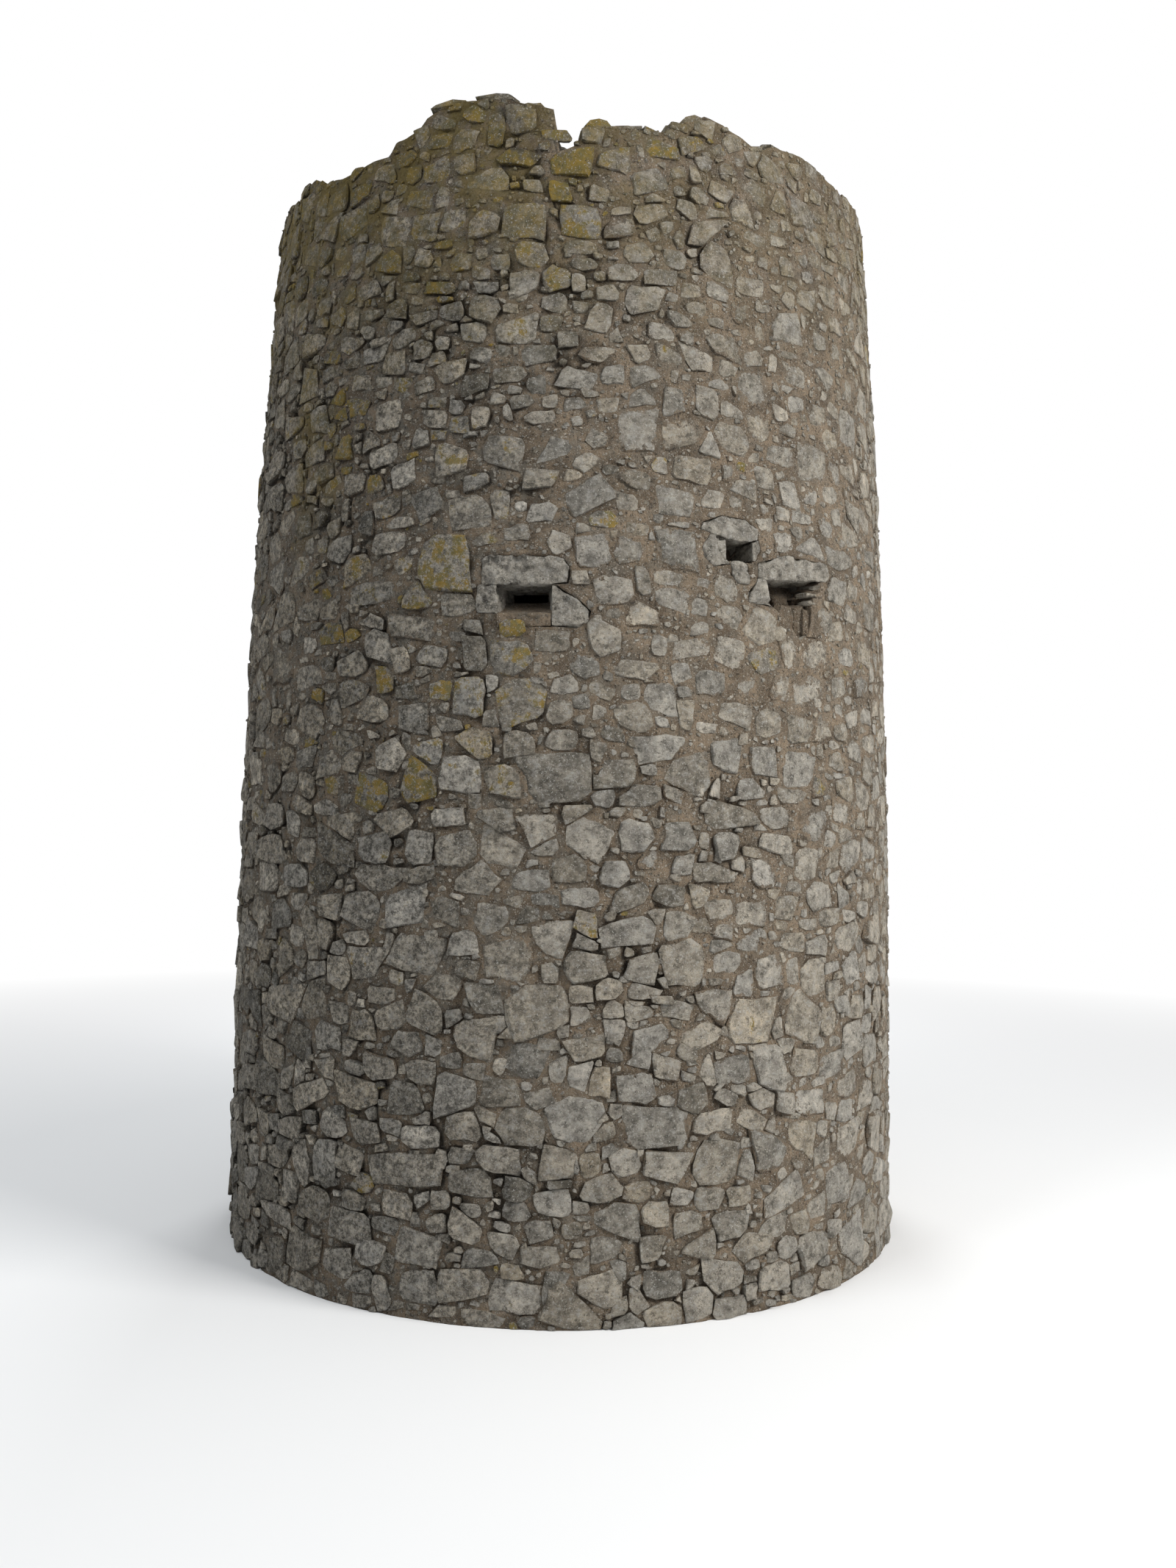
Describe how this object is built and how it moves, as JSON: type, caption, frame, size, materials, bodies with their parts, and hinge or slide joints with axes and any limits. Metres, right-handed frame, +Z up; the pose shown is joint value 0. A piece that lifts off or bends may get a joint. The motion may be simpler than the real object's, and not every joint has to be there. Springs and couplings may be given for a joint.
{
  "type": "round stone watchtower",
  "caption": "Round coastal watchtower of lime-mortared rubble with a ruined parapet, small splayed loopholes, two vaulted rooms and a raised back doorway.",
  "frame": {"origin": "centre of the tower's circular base, at ground level", "axes": "+Z up; the front loophole looks along -Y; +X to the right as seen from the front"},
  "size_m": [6.4, 6.4, 9.8],
  "materials": {
    "lower_masonry": "warm light grey rubble stones, 0.1 to 0.5 m, close together in brown sandy lime mortar; ochre stains",
    "upper_masonry": "light grey rubble stones with white and dark lichen specks, wide brown gravelly lime mortar, yellow lichen patches",
    "parapet_masonry": "weathered rubble with olive and yellow moss and lichen, broken top with loose flat stones",
    "dressed_stone": "roughly squared light grey limestone with chipped edges and lichen specks",
    "sill_mortar": "brown earthy lime mortar with small stones",
    "vault_rubble": "rough rubble set in lime mortar",
    "paving": "worn lime concrete with stone chips"
  },
  "bodies": {
    "root": {"ground_floor": "paving", "lower_vault": "vault_rubble", "upper_floor": "paving", "upper_vault": "vault_rubble", "terrace_floor": "paving", "lower_wall_front": "lower_masonry", "lower_wall_front_right": "lower_masonry", "lower_wall_right": "lower_masonry", "lower_wall_back_right": "lower_masonry", "lower_wall_back": "lower_masonry", "lower_wall_back_left": "lower_masonry", "lower_wall_left": "lower_masonry", "lower_wall_front_left": "lower_masonry", "upper_wall_front": "upper_masonry", "upper_wall_front_right": "upper_masonry", "upper_wall_right": "upper_masonry", "upper_wall_back_right": "upper_masonry", "upper_wall_back": "upper_masonry", "upper_wall_back_left": "upper_masonry", "upper_wall_left": "upper_masonry", "upper_wall_front_left": "upper_masonry", "parapet_front": "parapet_masonry", "parapet_front_right": "parapet_masonry", "parapet_right": "parapet_masonry", "parapet_back_right": "parapet_masonry", "parapet_back": "parapet_masonry", "parapet_back_left": "parapet_masonry", "parapet_left": "parapet_masonry", "parapet_front_left": "parapet_masonry", "front_loophole_lintel": "dressed_stone", "front_loophole_jambs": "dressed_stone", "front_loophole_sill": "sill_mortar", "left_loophole_lintel": "dressed_stone", "left_loophole_jambs": "dressed_stone", "left_loophole_sill": "sill_mortar", "broken_loophole_lintel": "dressed_stone", "broken_loophole_jambs": "dressed_stone", "broken_loophole_fill": "sill_mortar", "small_loophole_lintel": "dressed_stone", "small_loophole_jambs": "dressed_stone", "small_loophole_sill": "dressed_stone", "doorway_lintel": "dressed_stone", "doorway_jambs": "dressed_stone", "doorway_threshold": "dressed_stone"}
  },
  "joints": []
}
